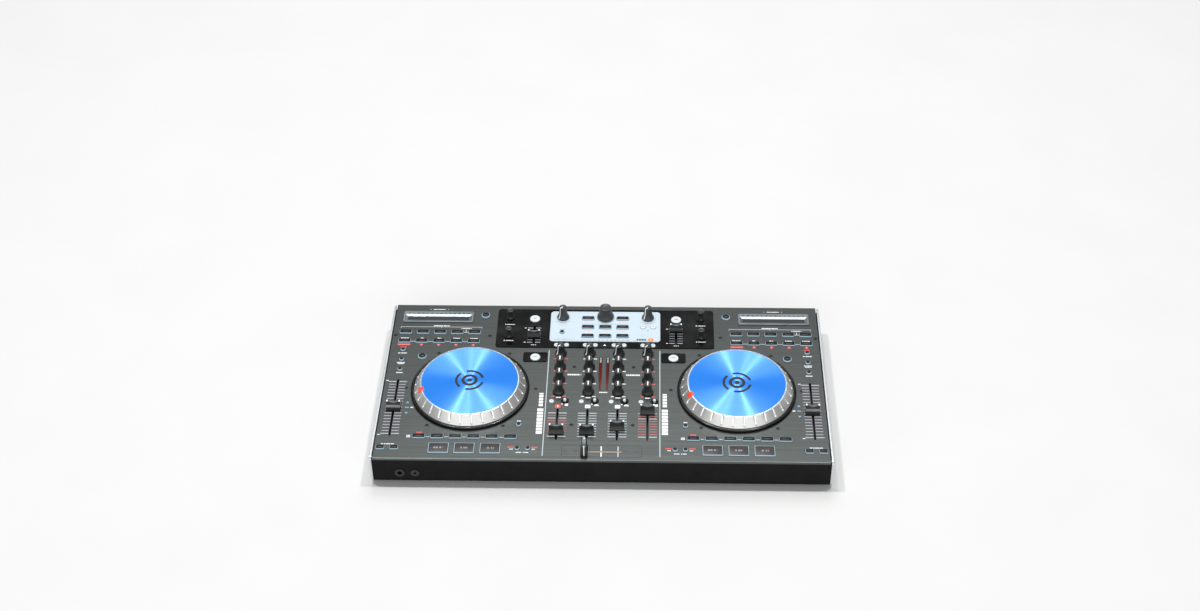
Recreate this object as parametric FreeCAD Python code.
import FreeCAD, Part
import math
import os

# Four-channel DJ controller with two touch platters.
# Millimetres, +Z up, +X to the user's right, +Y to the back.
# The origin is under the middle of the box, on the plane that the feet stand on.

Vector = FreeCAD.Vector

# ---- body ----
WIDTH = 600.0
DEPTH = 308.0
PANEL_TOP = 46.0
PANEL_THICK = 2.5
FOOT_HEIGHT = 4.0
WALL = 2.5
TRIM_THICK = 2.8            # aluminium side cheeks
TRIM_RISE = 0.6             # cheeks stand this far above the panel
SHADOW_GAP = 1.6            # between the panel's ends and the cheeks
FRONT_OVERHANG = 1.0        # panel past the case's front wall
REAR_OVERHANG = 8.0         # panel past the rear wall, over the sockets
BEZEL_THICK = 1.0           # gloss mixer bezel, and the plate on top of it
STRIP_RISE = 1.8            # frames round the search strips

# ---- decks ----
DECK_X = 179.0              # platter axes at plus and minus this
DECK_Y = -20.5
DISC_RADIUS = 64.5
DISC_THICK = 1.6
RIM_RADIUS = 66.9
WHEEL_RADIUS = 75.5
WHEEL_RISE = 16.5           # top of the disc above the panel
WHEEL_SKIRT = 2.0           # underside of the wheel above the panel
NOTCHES = 30
NOTCH_RADIUS = 1.6
NOTCH_DEPTH = 0.8
NOTCH_REACH = 0.8           # share of the cone's slope that a notch runs down
HUB_RADIUS = 12.0
SPINDLE_RADIUS = 3.5
SPINDLE_FIT = 0.05
HOUSING_RADIUS = 11.0
RING_INNER = 76.4
RING_OUTER = 79.8
RING_HEIGHT = 4.3

# ---- keys ----
KEY_BOTTOM = 39.5
KEY_RISE = 1.4
KEY_GAP = 0.4               # clearance all round in the panel
KEY_CHAMFER = 0.4
KEY_TRAVEL = 1.2
KEY_PITCH = 24.0
PAD_WIDTH = 17.1
PAD_DEPTH = 8.0
PAD_CORNER = 1.5

# ---- mixer ----
CHANNEL_PITCH = 39.8
KNOB_ROWS = [52.8, 25.3, 0.3, -24.7]
BROWSE_Y = 127.4
KNOB_LIFT = 0.5             # skirt above its surface
KNOB_SHAFT = 3.0
SHAFT_BOTTOM = 36.0
SHAFT_HOLE = 3.8
FADER_REST = [-101.6, -101.8, -94.0, -63.0]
FADER_CENTRE = -85.5
FADER_TRAVEL = 45.0
FADER_SLOT_Y = -86.6        # the slots run on past the travel
FADER_SLOT = 59.0
SLOT_WIDTH = 2.8
CROSS_Y = -137.1
CROSS_REST = -22.0
CROSS_TRAVEL = 44.0
PITCH_X = 278.1
PITCH_CENTRE = -57.0
PITCH_TRAVEL = 100.0
EFFECT_FADER_X = 98.6
EFFECT_FADER_REST = [88.8, 103.5]
EFFECT_FADER_CENTRE = 89.6
EFFECT_FADER_TRAVEL = 30.0
TOGGLE_Y = -42.0
TOGGLE_OFFSET = 9.1         # from its channel's centre line
TOGGLE_PIVOT = 42.0
TOGGLE_LEAN = 12.0

# ---- inside ----
CONTROL_BOARD = 33.0        # underside of each board
MAIN_BOARD = 12.0
BOARD_THICK = 1.6
BOSS_RADIUS = 3.6
SCREW_RADIUS = 1.5
SCREW_HEAD = 2.65
SCREW_HEAD_DEPTH = 1.4
JACK_RADIUS = 3.25          # 6.35 mm plug
MINI_JACK_RADIUS = 1.8      # 3.5 mm plug
PHONO_RADIUS = 4.15
JACK_HEIGHT = 20.0

# ---- worked out from the above ----
PANEL_BOTTOM = PANEL_TOP - PANEL_THICK
FLOOR_TOP = FOOT_HEIGHT + WALL
BEZEL_TOP = PANEL_TOP + BEZEL_THICK
PLATE_TOP = BEZEL_TOP + BEZEL_THICK
CASE_X = WIDTH / 2 - TRIM_THICK
CASE_FRONT = -DEPTH / 2 + FRONT_OVERHANG
CASE_REAR = DEPTH / 2 - REAR_OVERHANG
PANEL_X = CASE_X - SHADOW_GAP
BOARD_TOP = CONTROL_BOARD + BOARD_THICK
DISC_TOP = PANEL_TOP + WHEEL_RISE
DISC_BOTTOM = DISC_TOP - DISC_THICK
CHANNELS = [CHANNEL_PITCH * (i - 1.5) for i in range(4)]
SIDES = [("left", -1), ("right", 1)]


# ---------------------------------------------------------------- shape helpers

def box(x0, x1, y0, y1, z0, z1):
    return Part.makeBox(x1 - x0, y1 - y0, z1 - z0, Vector(x0, y0, z0))


def block(x, y, width, depth, z0, z1):
    return box(x - width / 2, x + width / 2, y - depth / 2, y + depth / 2, z0, z1)


def cylinder(x, y, z0, z1, radius):
    return Part.makeCylinder(radius, z1 - z0, Vector(x, y, z0))


def pipe_y(x, z, y0, y1, radius):
    """A cylinder along Y from y0 to y1."""
    return Part.makeCylinder(radius, y1 - y0, Vector(x, y0, z), Vector(0, 1, 0))


def outline(edges):
    """Face inside a closed run of edges."""
    return Part.Face(Part.Wire(edges))


def polygon(points):
    return Part.Face(Part.makePolygon(points + [points[0]]))


def rounded_face(x, y, width, depth, radius, z):
    """Rectangle with round corners, or a disc when the corners meet."""
    if radius >= width / 2:
        return outline([Part.makeCircle(radius, Vector(x, y, z))])
    edges = []
    across, along = width / 2 - radius, depth / 2 - radius
    centres = [(across, along), (-across, along), (-across, -along), (across, -along)]
    for quarter, (cx, cy) in enumerate(centres):
        start = 90.0 * quarter
        centre = Vector(x + cx, y + cy, z)
        edges.append(Part.makeCircle(radius, centre, Vector(0, 0, 1), start, start + 90))
    joined = []
    for i, arc in enumerate(edges):
        following = edges[(i + 1) % 4]
        joined.append(arc)
        joined.append(Part.makeLine(arc.Vertexes[-1].Point, following.Vertexes[0].Point))
    return outline(joined)


def rounded_prism(x, y, width, depth, radius, z0, z1):
    return rounded_face(x, y, width, depth, radius, z0).extrude(Vector(0, 0, z1 - z0))


def edges_at(shape, z):
    """The edges that lie in the horizontal plane at z."""
    return [e for e in shape.Edges if e.BoundBox.ZMin > z - 0.01 and e.BoundBox.ZMax < z + 0.01]


def revolve(points, x, y):
    """Solid of revolution about the vertical through (x, y), from (radius, z) points."""
    profile = polygon([Vector(x + r, y, z) for r, z in points])
    return profile.revolve(Vector(x, y, 0), Vector(0, 0, 1), 360)


def turned_knob(x, y, bottom, profile):
    """Knob whose side is a smooth curve through (radius, height) points, with a broken edge."""
    side = [Vector(x + r, y, bottom + h) for r, h in profile]
    curve = Part.BSplineCurve()
    curve.interpolate(side)
    edge_radius, height = profile[-1]
    crown = Vector(x + edge_radius - 0.6, y, bottom + height + 0.6)
    axis_low, axis_high = Vector(x, y, bottom), Vector(x, y, crown.z)
    face = outline([
        Part.makeLine(axis_low, side[0]),
        curve.toShape(),
        Part.makeLine(side[-1], crown),
        Part.makeLine(crown, axis_high),
        Part.makeLine(axis_high, axis_low),
    ])
    return face.revolve(Vector(x, y, 0), Vector(0, 0, 1), 360)


def save(node, solids):
    """Write one sub-part, as separate solids when it is a group."""
    for solid in solids:
        if not solid.isValid() or solid.Volume <= 0:
            raise ValueError("bad solid in " + node)
    shape = solids[0] if len(solids) == 1 else Part.makeCompound(solids)
    shape.exportStep("parts/" + node + ".step")


# ---------------------------------------------------------------- where things are

def mirrored(points):
    """Every point on both sides of the middle."""
    return [(side * x, y) for x, y in points for side in (-1, 1)]


PANEL_SCREWS = mirrored([
    (291.4, 88.3), (160.3, 88.3), (228.0, 51.4), (130.3, 51.4), (266.1, -18.9),
    (90.9, -18.9), (230.6, -90.9), (130.3, -90.9), (40.3, 25.7), (40.3, -87.4),
])
BOARD_SPACERS = mirrored([
    (94.0, 0.0), (110.0, -60.0), (248.0, -70.0), (179.0, 64.0), (252.0, 20.0), (290.0, 125.0),
]) + [(0.0, 60.0), (0.0, -100.0)]
FEET = mirrored([(260.0, 115.0), (260.0, -125.0)]) + [(0.0, 115.0), (0.0, -125.0)]


def pad(x, y, surface=PANEL_TOP, depth=PAD_DEPTH):
    """A rectangular key: x, y, width, depth, corner radius, surface it stands out of."""
    return (x, y, PAD_WIDTH, depth, PAD_CORNER, surface)


def button(x, y, diameter, surface=PANEL_TOP):
    """A round key in the same form."""
    return (x, y, diameter, diameter, diameter / 2, surface)


def deck_keys(side):
    keys = []
    for i in range(5):
        loop_x = side * (182.1 + KEY_PITCH * i)
        keys += [pad(loop_x, 95.1), pad(loop_x, 76.0)]
    for i in range(6):
        keys.append(pad(side * (119.6 + KEY_PITCH * i), -112.0))
    for x, y, diameter in [
        (168.9, 131.6, 12.0), (250.3, 44.4, 12.0),
        (PITCH_X, 57.9, 6.9), (PITCH_X, 38.0, 6.9), (PITCH_X, 17.8, 6.9),
        (95.6, -132.8, 6.9), (109.3, -132.8, 6.9), (109.7, -88.4, 6.9),
    ]:
        keys.append(button(side * x, y, diameter))
    for x in (269.6, 287.6):
        keys.append((side * x, -133.4, 11.1, 7.7, PAD_CORNER, PANEL_TOP))
    keys.append(button(side * 94.7, 43.4, 13.7, BEZEL_TOP))
    return keys


def mixer_keys():
    keys = []
    for x in CHANNELS:
        keys += [button(x - 6.8, 69.2, 7.2, BEZEL_TOP), button(x + 6.8, 69.2, 7.2, BEZEL_TOP)]
        keys.append(button(x - 8.8, -43.2, 6.8))
    for x, y in [(-24.2, 124.7), (24.2, 124.7)] + [(x, y) for y in (106.0, 87.4) for x in (-24.2, 0, 24.2)]:
        keys.append(pad(x, y, PLATE_TOP, 7.4))
    keys.append(button(-60.0, 95.0, 6.9, PLATE_TOP))
    keys += [button(52.7, 107.0, 8.0, PLATE_TOP), button(66.9, 107.0, 8.0, PLATE_TOP)]
    keys += [button(-99.0, 123.9, 14.1, BEZEL_TOP), button(99.0, 123.9, 14.1, BEZEL_TOP)]
    return keys


def transport_keys():
    """Sync, cue and play, in that order from the left on both decks."""
    named = []
    for name, side in SIDES:
        columns = sorted(side * x for x in (144.4, 178.1, 211.7))
        for job, x in zip(("sync", "cue", "play"), columns):
            named.append((job + "_key_" + name, (x, -133.6, 26.6, 18.6, 2.5, PANEL_TOP)))
    return named


# name, x, y, pointer angle clockwise from 12 o'clock, surface below it, side profile
CHANNEL_PROFILE = [(7.9, 0.0), (8.0, 1.8), (6.4, 4.8), (5.6, 8.0), (5.2, 11.4), (4.9, 15.8)]
PHONES_PROFILE = [(8.3, 0.0), (8.4, 1.8), (6.7, 5.0), (5.8, 9.0), (5.3, 13.4), (4.9, 19.0)]
EFFECT_PROFILE = [(5.5, 0.0), (5.4, 1.4), (4.3, 4.0), (3.9, 7.5), (4.0, 11.0), (4.4, 13.8)]
BROWSE_PROFILE = [(11.7, 0.0), (11.6, 1.8), (9.9, 5.4), (8.9, 9.2), (8.2, 13.0), (7.8, 17.0)]


def knobs():
    found = []
    for number, x in enumerate(CHANNELS, 1):
        for job, y in zip(("gain", "treble", "mid", "bass"), KNOB_ROWS):
            pointer = -135.0 if job == "gain" else 0.0
            found.append((job + "_knob_" + str(number), x, y, pointer, PANEL_TOP, CHANNEL_PROFILE))
    found.append(("phones_knob", -59.5, 126.6, -135.0, PLATE_TOP, PHONES_PROFILE))
    found.append(("booth_knob", 59.5, 126.6, -135.0, PLATE_TOP, PHONES_PROFILE))
    for name, side in SIDES:
        for job, y in (("select", 126.0), ("mix", 87.4)):
            found.append(("effect_" + job + "_" + name, side * 133.3, y, 0.0, BEZEL_TOP, EFFECT_PROFILE))
    return found


def faders():
    """Name, x, y at rest, slot centre, travel, surface, cap; all but the crossfader run along Y."""
    channel_cap = dict(length=19.7, depth=11.1, shoulder=11.1, skirt=1.4, ridge=3.0, height=14.0)
    pitch_cap = dict(length=19.5, depth=15.4, shoulder=14.2, skirt=4.6, ridge=3.4, height=11.4)
    effect_cap = dict(length=17.1, depth=10.3, shoulder=10.3, skirt=1.4, ridge=2.8, height=10.0)
    cross_cap = dict(length=19.4, depth=9.6, shoulder=9.2, skirt=1.4, ridge=5.4, height=16.0)
    rows = []
    for number, (x, rest) in enumerate(zip(CHANNELS, FADER_REST), 1):
        name = "channel_fader_" + str(number)
        rows.append((name, x, rest, FADER_CENTRE, FADER_TRAVEL, PANEL_TOP, channel_cap))
    for (name, side), rest in zip(SIDES, EFFECT_FADER_REST):
        rows.append(("pitch_fader_" + name, side * PITCH_X, PITCH_CENTRE, PITCH_CENTRE, PITCH_TRAVEL,
                     PANEL_TOP, pitch_cap))
        rows.append(("effect_fader_" + name, side * EFFECT_FADER_X, rest, EFFECT_FADER_CENTRE,
                     EFFECT_FADER_TRAVEL, BEZEL_TOP, effect_cap))
    rows.append(("crossfader", CROSS_REST, CROSS_Y, 0.0, CROSS_TRAVEL, PANEL_TOP, cross_cap))
    return rows


# ---------------------------------------------------------------- moving pieces

def key_solid(key):
    x, y, width, depth, radius, surface = key
    top = surface + KEY_RISE
    prism = rounded_prism(x, y, width, depth, radius, KEY_BOTTOM, top)
    return prism.makeChamfer(KEY_CHAMFER, edges_at(prism, top))


def knob_solids(x, y, pointer, surface, profile):
    """Body with a pointer groove over its crown and down its side, and the shaft under it."""
    bottom = surface + KNOB_LIFT
    body = turned_knob(x, y, bottom, profile)
    top = body.BoundBox.ZMax
    crown_cut = box(-0.6, 0.6, 0, 12, top - 0.4, top + 1)
    side_cut = box(-0.6, 0.6, profile[-1][0] - 0.3, 12, bottom + 7, top + 1)
    groove = crown_cut.fuse(side_cut)
    groove.rotate(Vector(0, 0, 0), Vector(0, 0, 1), -pointer)
    groove.translate(Vector(x, y, 0))
    shaft = cylinder(x, y, SHAFT_BOTTOM, bottom, KNOB_SHAFT)
    return [body.cut(groove), shaft]


def fader_cap(length, depth, shoulder, skirt, ridge, height):
    """Cap with a saddle-shaped ridge along X, its underside at z = 0."""
    across = polygon([
        Vector(0, -depth / 2, 0), Vector(0, depth / 2, 0), Vector(0, shoulder / 2, skirt),
        Vector(0, ridge / 2 + 0.8, height - 4.5), Vector(0, ridge / 2, height),
        Vector(0, -ridge / 2, height), Vector(0, -ridge / 2 - 0.8, height - 4.5),
        Vector(0, -shoulder / 2, skirt),
    ]).extrude(Vector(length, 0, 0))
    across.translate(Vector(-length / 2, 0, 0))
    end, dip = length / 2, 2.0
    low, high = Vector(-end, -20, 0), Vector(end, -20, 0)
    left, right = Vector(-end + 0.6, -20, height), Vector(end - 0.6, -20, height)
    left_in, right_in = Vector(-end + 2.2, -20, height), Vector(end - 2.2, -20, height)
    saddle = Part.Arc(left_in, Vector(0, -20, height - dip), right_in).toShape()
    along = outline([
        Part.makeLine(low, high), Part.makeLine(high, right), Part.makeLine(right, right_in), saddle,
        Part.makeLine(left_in, left), Part.makeLine(left, low),
    ]).extrude(Vector(0, 40, 0))
    return across.common(along)


def fader_solid(x, y, surface, cap, lengthways):
    """Cap and lever in one piece; lengthways turns the ridge along Y."""
    lever = block(0, 0, 1.6, 4.0, BOARD_TOP + 3.0 - surface - 0.6, 1.0)
    body = fader_cap(**cap)
    if lengthways:
        body.rotate(Vector(0, 0, 0), Vector(0, 0, 1), 90)
        lever.rotate(Vector(0, 0, 0), Vector(0, 0, 1), 90)
    moved = body.fuse(lever).removeSplitter()
    moved.translate(Vector(x, y, surface + 0.6))
    return moved


def jog_wheel(x, y):
    """Turned wheel with finger notches round its cone, pressed on its spindle."""
    skirt = PANEL_TOP + WHEEL_SKIRT
    wheel = revolve([
        (SPINDLE_RADIUS, DISC_BOTTOM), (DISC_RADIUS + 0.2, DISC_BOTTOM), (DISC_RADIUS + 0.2, DISC_TOP),
        (RIM_RADIUS - 0.6, DISC_TOP), (RIM_RADIUS, DISC_TOP - 0.6),
        (WHEEL_RADIUS, skirt + 2.0), (WHEEL_RADIUS, skirt), (WHEEL_RADIUS - 3, skirt),
        (WHEEL_RADIUS - 3, skirt + 1.5), (RIM_RADIUS - 3, DISC_BOTTOM - 3), (HUB_RADIUS, DISC_BOTTOM - 3),
        (HUB_RADIUS, PANEL_BOTTOM - 1), (SPINDLE_RADIUS, PANEL_BOTTOM - 1),
    ], x, y)
    slope_top = Vector(RIM_RADIUS, 0, DISC_TOP)
    slope_foot = Vector(WHEEL_RADIUS, 0, skirt + 2.0)
    down = slope_foot.sub(slope_top)
    outward = Vector(-down.z, 0, down.x).normalize() * (NOTCH_RADIUS - NOTCH_DEPTH)
    end = slope_top + down * NOTCH_REACH + outward
    bar = Part.makeCylinder(NOTCH_RADIUS, down.Length * (NOTCH_REACH + 0.2), end, down * -1)
    bar = bar.fuse(Part.makeSphere(NOTCH_RADIUS, end))
    notches = []
    for i in range(NOTCHES):
        notch = bar.copy()
        notch.rotate(Vector(0, 0, 0), Vector(0, 0, 1), 360.0 / NOTCHES * i)
        notch.translate(Vector(x, y, 0))
        notches.append(notch)
    spindle = cylinder(x, y, FLOOR_TOP + 6, DISC_BOTTOM, SPINDLE_RADIUS)
    return [wheel.cut(notches), spindle]


def toggle_lever(x):
    """Bat of a toggle switch, leaning to the front over its pivot."""
    bat = Part.makeCone(1.0, 2.3, 8.0, Vector(x, TOGGLE_Y, TOGGLE_PIVOT))
    tip = Part.makeSphere(2.3, Vector(x, TOGGLE_Y, TOGGLE_PIVOT + 8.0))
    ball = Part.makeSphere(1.8, Vector(x, TOGGLE_Y, TOGGLE_PIVOT))
    lever = bat.fuse([tip, ball])
    lever.rotate(Vector(x, TOGGLE_Y, TOGGLE_PIVOT), Vector(1, 0, 0), TOGGLE_LEAN)
    return lever


# ---------------------------------------------------------------- fixed pieces

def slot(x, y, across, along, z0, z1, lengthways=False):
    """Round-ended cutter for a fader slot, along Y unless lengthways."""
    if lengthways:
        across, along = along, across
    return rounded_prism(x, y, across, along, min(across, along) / 2 - 0.1, z0, z1)


def panel_openings(z0, z1):
    """Cutters for every control that comes up through the panel."""
    cutters = []
    keys = deck_keys(-1) + deck_keys(1) + mixer_keys() + [key for _, key in transport_keys()]
    for x, y, width, depth, radius, _ in keys:
        wide, deep, corner = width + 2 * KEY_GAP, depth + 2 * KEY_GAP, radius + KEY_GAP
        cutters.append(rounded_prism(x, y, wide, deep, corner, z0, z1))
    for _, x, y, _, _, _ in knobs():
        cutters.append(cylinder(x, y, z0, z1, SHAFT_HOLE))
    cutters.append(cylinder(0, BROWSE_Y, z0, z1, SHAFT_HOLE))
    for name, x, y, centre, travel, _, _ in faders():
        sideways = name == "crossfader"
        middle, length = ((centre, y) if sideways else (x, centre)), travel + 9.0
        if name.startswith("channel"):
            middle, length = (x, FADER_SLOT_Y), FADER_SLOT
        cutters.append(slot(*middle, SLOT_WIDTH, length, z0, z1, sideways))
    for x in CHANNELS:
        cutters.append(cylinder(x + TOGGLE_OFFSET, TOGGLE_Y, z0, z1, 3.6))
    return cutters


def top_panel():
    panel = box(-PANEL_X, PANEL_X, -DEPTH / 2, DEPTH / 2, PANEL_BOTTOM, PANEL_TOP)
    front = [e for e in edges_at(panel, PANEL_TOP) if e.BoundBox.YMax < -DEPTH / 2 + 0.1]
    panel = panel.makeFillet(2.2, front)
    rear = [e for e in edges_at(panel, PANEL_TOP) if e.BoundBox.YMin > DEPTH / 2 - 0.1]
    panel = panel.makeFillet(1.0, rear)
    cutters = panel_openings(PANEL_BOTTOM - 1, PANEL_TOP + 1)
    cutters += [cylinder(side * DECK_X, DECK_Y, PANEL_BOTTOM - 1, PANEL_TOP + 1, HUB_RADIUS + 1.5)
                for side in (-1, 1)]
    for x, y in PANEL_SCREWS:
        cutters.append(cylinder(x, y, PANEL_BOTTOM - 1, PANEL_TOP, SCREW_RADIUS + 0.1))
        cutters.append(Part.makeCone(SCREW_RADIUS + 0.1, SCREW_HEAD + 0.1, SCREW_HEAD_DEPTH,
                                     Vector(x, y, PANEL_TOP - SCREW_HEAD_DEPTH)))
    return [panel.cut(cutters)]


def mixer_bezels():
    """Gloss bezel behind the channels, two small plates beside them, and the toggle collars."""
    cutters = panel_openings(PANEL_TOP - 1, BEZEL_TOP + 1)
    bezel = rounded_prism(0, 104.6, 302.6, 80.6, 5.0, PANEL_TOP, BEZEL_TOP)
    solids = [bezel.cut(cutters)]
    for side in (-1, 1):
        small = rounded_prism(side * 94.7, 44.6, 33.4, 18.9, 3.0, PANEL_TOP, BEZEL_TOP)
        solids.append(small.cut(cutters))
    for x in CHANNELS:
        ring = cylinder(x + TOGGLE_OFFSET, TOGGLE_Y, PANEL_TOP, PANEL_TOP + 0.8, 5.4)
        solids.append(ring.cut(cylinder(x + TOGGLE_OFFSET, TOGGLE_Y, PANEL_TOP, BEZEL_TOP, 3.6)))
    return solids


def center_plate():
    plate = rounded_prism(0, 108.2, 153.6, 63.4, 5.0, BEZEL_TOP, PLATE_TOP)
    plate = plate.makeChamfer(0.4, edges_at(plate, PLATE_TOP))
    return [plate.cut(panel_openings(BEZEL_TOP - 1, PLATE_TOP + 1))]


def side_trims():
    """Aluminium cheeks with round top corners, proud of the panel by TRIM_RISE."""
    top, front, back = PANEL_TOP + TRIM_RISE, -DEPTH / 2, DEPTH / 2
    cheeks = []
    for side in (-1, 1):
        inner = side * CASE_X
        cheek = box(min(inner, inner + side * TRIM_THICK), max(inner, inner + side * TRIM_THICK),
                    front, back, FOOT_HEIGHT, top)
        uprights = [e for e in cheek.Edges if abs(e.BoundBox.XLength - TRIM_THICK) < 0.1]
        cheek = cheek.makeFillet(5.0, uprights)
        outer = inner + side * TRIM_THICK
        rim = [e for e in cheek.Edges if abs(e.BoundBox.XMin - outer) < 0.01
               and abs(e.BoundBox.XMax - outer) < 0.01]
        cheeks.append(cheek.makeChamfer(0.8, rim))
    return cheeks


def rca_columns():
    """X of each stacked pair of phono sockets: four inputs, booth and master."""
    return [-130.0 + 26.0 * i for i in range(4)] + [30.0, 56.0]


PHONO_HEIGHTS = (13.0, 27.0)
JACK_COLUMNS = [100.0, 128.0, 156.0]
USB_X, POWER_X, GROUND_X = -215.0, -250.0, -160.0
HEADPHONE_X, MINI_HEADPHONE_X = -262.0, -242.0


def bottom_case():
    """Plastic tub with the panel's screw bosses and the socket holes."""
    shell = box(-CASE_X, CASE_X, CASE_FRONT, CASE_REAR, FOOT_HEIGHT, PANEL_BOTTOM)
    bottom = edges_at(shell, FOOT_HEIGHT)
    shell = shell.makeChamfer(2.0, [e for e in bottom if e.BoundBox.XLength > 100])
    hollow = box(-CASE_X + WALL, CASE_X - WALL, CASE_FRONT + WALL, CASE_REAR - WALL,
                 FLOOR_TOP, PANEL_BOTTOM + 1)
    bosses = [cylinder(x, y, FLOOR_TOP - 0.5, PANEL_BOTTOM, BOSS_RADIUS) for x, y in PANEL_SCREWS]
    case = shell.cut(hollow).fuse(bosses)
    cutters = [cylinder(x, y, PANEL_BOTTOM - 14, PANEL_BOTTOM + 1, SCREW_RADIUS) for x, y in PANEL_SCREWS]
    cutters += [cylinder(x, y, FOOT_HEIGHT - 1, FLOOR_TOP + 1, SCREW_RADIUS) for x, y in FEET]
    rear_in, rear_out = CASE_REAR - WALL - 1, CASE_REAR + 1
    for x in rca_columns():
        cutters += [pipe_y(x, z, rear_in, rear_out, PHONO_RADIUS + 0.8) for z in PHONO_HEIGHTS]
    for x in JACK_COLUMNS:
        cutters.append(pipe_y(x, JACK_HEIGHT, rear_in, rear_out, 5.0))
    for x in (GROUND_X, GROUND_X + 12):
        cutters.append(pipe_y(x, JACK_HEIGHT, rear_in, rear_out, 2.0))
    cutters.append(box(USB_X - 6.1, USB_X + 6.1, rear_in, rear_out, JACK_HEIGHT - 5.6, JACK_HEIGHT + 5.6))
    cutters.append(pipe_y(POWER_X, JACK_HEIGHT, rear_in, rear_out, 5.0))
    for x in (HEADPHONE_X, MINI_HEADPHONE_X):
        cutters.append(pipe_y(x, JACK_HEIGHT, CASE_FRONT - 1, CASE_FRONT + WALL + 1, 5.0))
    return [case.cut(cutters)]


def feet():
    """Six rubber feet, each dished for its screw."""
    made = []
    for x, y in FEET:
        foot = Part.makeCone(8.5, 9.5, FOOT_HEIGHT, Vector(x, y, 0))
        made.append(foot.cut([cylinder(x, y, 0, 2.0, 4.0), cylinder(x, y, 2.0, FOOT_HEIGHT, SCREW_RADIUS)]))
    return made


def fasteners():
    """Countersunk panel screws, the foot screws and the spacers under the panel."""
    cross = block(0, 0, 0.7, 3.2, PANEL_TOP - 0.8, PANEL_TOP + 1)
    cross = cross.fuse(block(0, 0, 3.2, 0.7, PANEL_TOP - 0.8, PANEL_TOP + 1))
    head_bottom = PANEL_TOP - SCREW_HEAD_DEPTH
    screw = Part.makeCone(SCREW_RADIUS, SCREW_HEAD, SCREW_HEAD_DEPTH, Vector(0, 0, head_bottom))
    screw = screw.fuse(cylinder(0, 0, PANEL_BOTTOM - 10, head_bottom, SCREW_RADIUS)).cut(cross)
    solids = []
    for x, y in PANEL_SCREWS:
        placed = screw.copy()
        placed.translate(Vector(x, y, 0))
        solids.append(placed)
    for x, y in FEET:
        shank = cylinder(x, y, 2.0, FLOOR_TOP + 2.5, SCREW_RADIUS)
        solids.append(shank.fuse(cylinder(x, y, 0.6, 2.0, 3.0)))
    for x, y in BOARD_SPACERS:
        spacer = cylinder(x, y, BOARD_TOP, PANEL_BOTTOM, 2.5)
        solids.append(spacer.cut(cylinder(x, y, BOARD_TOP, PANEL_BOTTOM, 1.25)))
    return solids


def search_strips():
    """Raised frames with sloped inner walls, each round a flat touch strip."""
    solids = []
    for side in (-1, 1):
        x, y = side * 235.3, 126.9
        frame = rounded_prism(x, y, 98.6, 22.6, 2.5, PANEL_TOP, PANEL_TOP + STRIP_RISE)
        frame = frame.makeChamfer(0.4, edges_at(frame, PANEL_TOP + STRIP_RISE))
        mouth = rounded_face(x, y, 93.8, 17.0, 1.6, PANEL_TOP + STRIP_RISE)
        floor = rounded_face(x, y - 2.4, 87.3, 8.3, 0.8, PANEL_TOP)
        recess = Part.makeLoft([floor.OuterWire, mouth.OuterWire], True)
        solids.append(frame.cut(recess))
        solids.append(rounded_prism(x, y - 2.4, 87.1, 8.1, 0.7, PANEL_TOP, PANEL_TOP + 0.3))
    return solids


def platter_rings():
    """Fixed gloss rings round the wheels, each with a half-round top."""
    rings = []
    shoulder, middle = PANEL_TOP + RING_HEIGHT - 1.7, (RING_INNER + RING_OUTER) / 2
    for side in (-1, 1):
        x, y = side * DECK_X, DECK_Y
        corners = [Vector(x + RING_INNER, y, PANEL_TOP), Vector(x + RING_OUTER, y, PANEL_TOP),
                   Vector(x + RING_OUTER, y, shoulder), Vector(x + RING_INNER, y, shoulder)]
        crest = Part.Arc(corners[2], Vector(x + middle, y, PANEL_TOP + RING_HEIGHT), corners[3]).toShape()
        face = outline([Part.makeLine(corners[0], corners[1]), Part.makeLine(corners[1], corners[2]),
                        crest, Part.makeLine(corners[3], corners[0])])
        rings.append(face.revolve(Vector(x, y, 0), Vector(0, 0, 1), 360))
    return rings


def bearing_housings():
    """Flanged tubes on the case floor, with a ball bearing at each end of the spindle's seat."""
    solids = []
    top, bore = PANEL_BOTTOM - 1.1, SPINDLE_RADIUS + SPINDLE_FIT
    for side in (-1, 1):
        x, y = side * DECK_X, DECK_Y
        tube = cylinder(x, y, FLOOR_TOP, top, HOUSING_RADIUS)
        tube = tube.fuse(cylinder(x, y, FLOOR_TOP, FLOOR_TOP + 3, 20))
        seats = [cylinder(x, y, top - 7, top, 9.5), cylinder(x, y, FLOOR_TOP + 5.5, FLOOR_TOP + 12.5, 9.5)]
        tube = tube.cut(seats + [cylinder(x, y, FLOOR_TOP + 5.5, top, 5.0)])
        solids.append(tube)
        for low in (top - 7, FLOOR_TOP + 5.5):
            outer = cylinder(x, y, low, low + 7, 9.5).cut(cylinder(x, y, low, low + 7, 7.9))
            inner = cylinder(x, y, low, low + 7, 5.0).cut(cylinder(x, y, low, low + 7, bore))
            solids += [outer, inner]
            for i in range(8):
                angle = math.radians(45 * i)
                centre = Vector(x + 6.45 * math.cos(angle), y + 6.45 * math.sin(angle), low + 3.5)
                solids.append(Part.makeSphere(1.4, centre))
    return solids


def potentiometers():
    """Rotary parts under the knobs, the browse encoder and the slide parts under the faders."""
    solids = []
    shaft_top = BOARD_TOP + 7.0
    spots = [(x, y) for _, x, y, _, _, _ in knobs()] + [(0, BROWSE_Y)]
    for x, y in spots:
        body = block(x, y, 10.5, 10.5, BOARD_TOP, shaft_top)
        solids.append(body.cut(cylinder(x, y, BOARD_TOP, shaft_top, KNOB_SHAFT + 0.3)))
    for name, x, y, centre, travel, _, _ in faders():
        sideways = name == "crossfader"
        middle = (centre, y) if sideways else (x, centre)
        size = (travel + 17.0, 9.0) if sideways else (9.0, travel + 17.0)
        groove = (travel + 6.0, 2.6) if sideways else (2.6, travel + 6.0)
        body = block(*middle, *size, BOARD_TOP, shaft_top)
        solids.append(body.cut(block(*middle, *groove, BOARD_TOP + 2.0, shaft_top)))
    return solids


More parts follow.
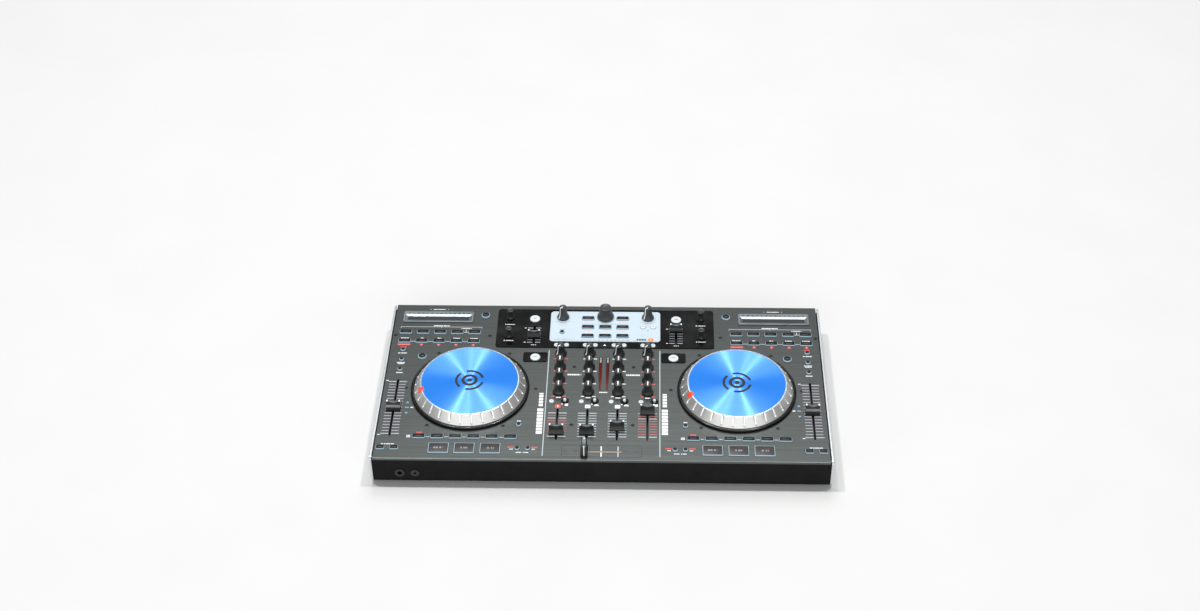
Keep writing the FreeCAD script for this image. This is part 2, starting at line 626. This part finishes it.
def circuit_boards():
    """Control board under the panel with a switch under every key, main board and socket board."""
    control = box(-CASE_X + 4, CASE_X - 4, CASE_FRONT + 14, CASE_REAR - 14, CONTROL_BOARD, BOARD_TOP)
    holes = [cylinder(x, y, CONTROL_BOARD - 1, BOARD_TOP + 1, BOSS_RADIUS + 0.6) for x, y in PANEL_SCREWS]
    holes += [cylinder(side * DECK_X, DECK_Y, CONTROL_BOARD - 1, BOARD_TOP + 1, 30) for side in (-1, 1)]
    solids = [control.cut(holes)]
    keys = deck_keys(-1) + deck_keys(1) + mixer_keys() + [key for _, key in transport_keys()]
    for x, y, _, _, _, _ in keys:
        switch = block(x, y, 6.0, 6.0, BOARD_TOP, BOARD_TOP + 2.6)
        solids.append(switch.fuse(cylinder(x, y, BOARD_TOP + 2.6, BOARD_TOP + 3.5, 1.6)))
    for x in CHANNELS:
        solids.append(block(x + TOGGLE_OFFSET, TOGGLE_Y, 7.0, 12.0, BOARD_TOP, TOGGLE_PIVOT - 3.0))
    main = box(-88, 88, -70, CASE_REAR - 22, MAIN_BOARD, MAIN_BOARD + BOARD_THICK)
    standoff_spots = mirrored([(80.0, -62.0), (80.0, CASE_REAR - 30)])
    main = main.cut([cylinder(x, y, MAIN_BOARD - 1, MAIN_BOARD + 3, BOSS_RADIUS + 0.6)
                     for x, y in PANEL_SCREWS])
    solids.append(main)
    solids += [cylinder(x, y, FLOOR_TOP, MAIN_BOARD, 3.0) for x, y in standoff_spots]
    chip_base = MAIN_BOARD + BOARD_THICK
    for x, y, width, depth, height in [
        (0, 60, 20, 20, 1.6), (-55, 60, 14, 20, 2.0), (55, 60, 14, 20, 2.0), (0, -30, 12, 12, 1.4),
        (-60, 10, 24, 12, 9.0), (62, -20, 18, 14, 6.0),
    ]:
        solids.append(block(x, y, width, depth, chip_base, chip_base + height))
    for i in range(6):
        solids.append(cylinder(-30 + 12 * i, 100, chip_base, chip_base + 11, 4.0))
    socket_face = CASE_REAR - WALL - 13
    socket_board = box(-265, 175, socket_face - BOARD_THICK, socket_face, FLOOR_TOP + 1, CONTROL_BOARD - 1)
    solids.append(socket_board.cut([
        block(x, socket_face, 16.8, 2 * BOARD_THICK + 1, JACK_HEIGHT - 8.4, JACK_HEIGHT + 8.4)
        for x in JACK_COLUMNS]))
    return solids


def jack(x, face, inward, radius, nut_radius):
    """Plug socket in a wall at y = face; inward is +1 when the case lies towards +Y."""
    def along(start, end, r):
        low, high = sorted((face + inward * start, face + inward * end))
        return pipe_y(x, JACK_HEIGHT, low, high, r)
    depth = 30.0 if radius > 3 else 17.0
    body_start = face + inward * WALL
    body_end = face + inward * (depth + 3)
    body = box(x - 8, x + 8, min(body_start, body_end), max(body_start, body_end),
               JACK_HEIGHT - 8, JACK_HEIGHT + 8)
    neck = along(-0.8, WALL, 4.6).fuse(along(-0.8, 0, nut_radius))
    return body.fuse(neck).cut(along(-1, depth, radius))


def sockets():
    """Rear panel sockets and the two headphone sockets at the front."""
    solids = []
    inner_face = CASE_REAR - WALL
    for x in rca_columns():
        body = box(x - 6, x + 6, inner_face - 12.9, inner_face, FLOOR_TOP + 1, CONTROL_BOARD - 0.6)
        body = body.cut([pipe_y(x, z, inner_face - 10, inner_face, 1.7) for z in PHONO_HEIGHTS])
        for z in PHONO_HEIGHTS:
            barrel = pipe_y(x, z, inner_face, CASE_REAR + 7.2, PHONO_RADIUS)
            body = body.fuse(barrel.cut(pipe_y(x, z, inner_face, CASE_REAR + 7.2, 1.7)))
        solids.append(body)
    for x in JACK_COLUMNS:
        solids.append(jack(x, CASE_REAR, -1, JACK_RADIUS, 6.5))
    def port_box(half_width, half_height, y0, y1):
        return box(USB_X - half_width, USB_X + half_width, y0, y1,
                   JACK_HEIGHT - half_height, JACK_HEIGHT + half_height)
    usb = port_box(6.0, 5.5, inner_face - 12.9, CASE_REAR + 0.5)
    mouth = port_box(4.2, 3.9, CASE_REAR - 8, CASE_REAR + 1)
    tongue = port_box(2.8, 1.6, CASE_REAR - 8, CASE_REAR - 0.5)
    solids.append(usb.cut(mouth).fuse(tongue))
    power = pipe_y(POWER_X, JACK_HEIGHT, inner_face, CASE_REAR + 1, 4.8)
    power = power.fuse(block(POWER_X, inner_face - 6.45, 10, 12.9, JACK_HEIGHT - 6, JACK_HEIGHT + 6))
    power = power.cut(pipe_y(POWER_X, JACK_HEIGHT, CASE_REAR - 9, CASE_REAR + 1, 2.9))
    solids.append(power.fuse(pipe_y(POWER_X, JACK_HEIGHT, CASE_REAR - 9, CASE_REAR - 0.5, 1.0)))
    for x in (GROUND_X, GROUND_X + 12):
        post = pipe_y(x, JACK_HEIGHT, inner_face - 4, CASE_REAR + 7, 1.9)
        solids.append(post.fuse(pipe_y(x, JACK_HEIGHT, CASE_REAR + 2, CASE_REAR + 6.5, 4.5)))
    solids.append(jack(HEADPHONE_X, CASE_FRONT, 1, JACK_RADIUS, 6.5))
    solids.append(jack(MINI_HEADPHONE_X, CASE_FRONT, 1, MINI_JACK_RADIUS, 5.6))
    return solids


# ---------------------------------------------------------------- write every node

os.makedirs("parts", exist_ok=True)

save("bottom_case", bottom_case())
save("top_panel", top_panel())
save("side_trims", side_trims())
save("mixer_bezels", mixer_bezels())
save("center_plate", center_plate())
save("search_strips", search_strips())
save("platter_rings", platter_rings())
save("circuit_boards", circuit_boards())
save("potentiometers", potentiometers())
save("bearing_housings", bearing_housings())
save("sockets", sockets())
save("feet", feet())
save("fasteners", fasteners())

for deck, sign in SIDES:
    save("jog_wheel_" + deck, jog_wheel(sign * DECK_X, DECK_Y))
    save("jog_disc_" + deck, [cylinder(sign * DECK_X, DECK_Y, DISC_BOTTOM, DISC_TOP, DISC_RADIUS)])
    save("deck_keys_" + deck, [key_solid(key) for key in deck_keys(sign)])
save("mixer_keys", [key_solid(key) for key in mixer_keys()])
for node, key in transport_keys():
    save(node, [key_solid(key)])
for node, x, y, pointer, surface, profile in knobs():
    save(node, knob_solids(x, y, pointer, surface, profile))
for node, x, y, _, _, surface, cap in faders():
    save(node, [fader_solid(x, y, surface, cap, node == "crossfader")])
save("input_switches", [toggle_lever(x + TOGGLE_OFFSET) for x in CHANNELS])

browse_bottom = PLATE_TOP + KEY_TRAVEL + 0.6
save("browse_knob", [turned_knob(0, BROWSE_Y, browse_bottom, BROWSE_PROFILE).cut(
    cylinder(0, BROWSE_Y, 0, browse_bottom + 9, KNOB_SHAFT + 0.05))])
save("browse_shaft", [cylinder(0, BROWSE_Y, SHAFT_BOTTOM, browse_bottom + 9, KNOB_SHAFT)])
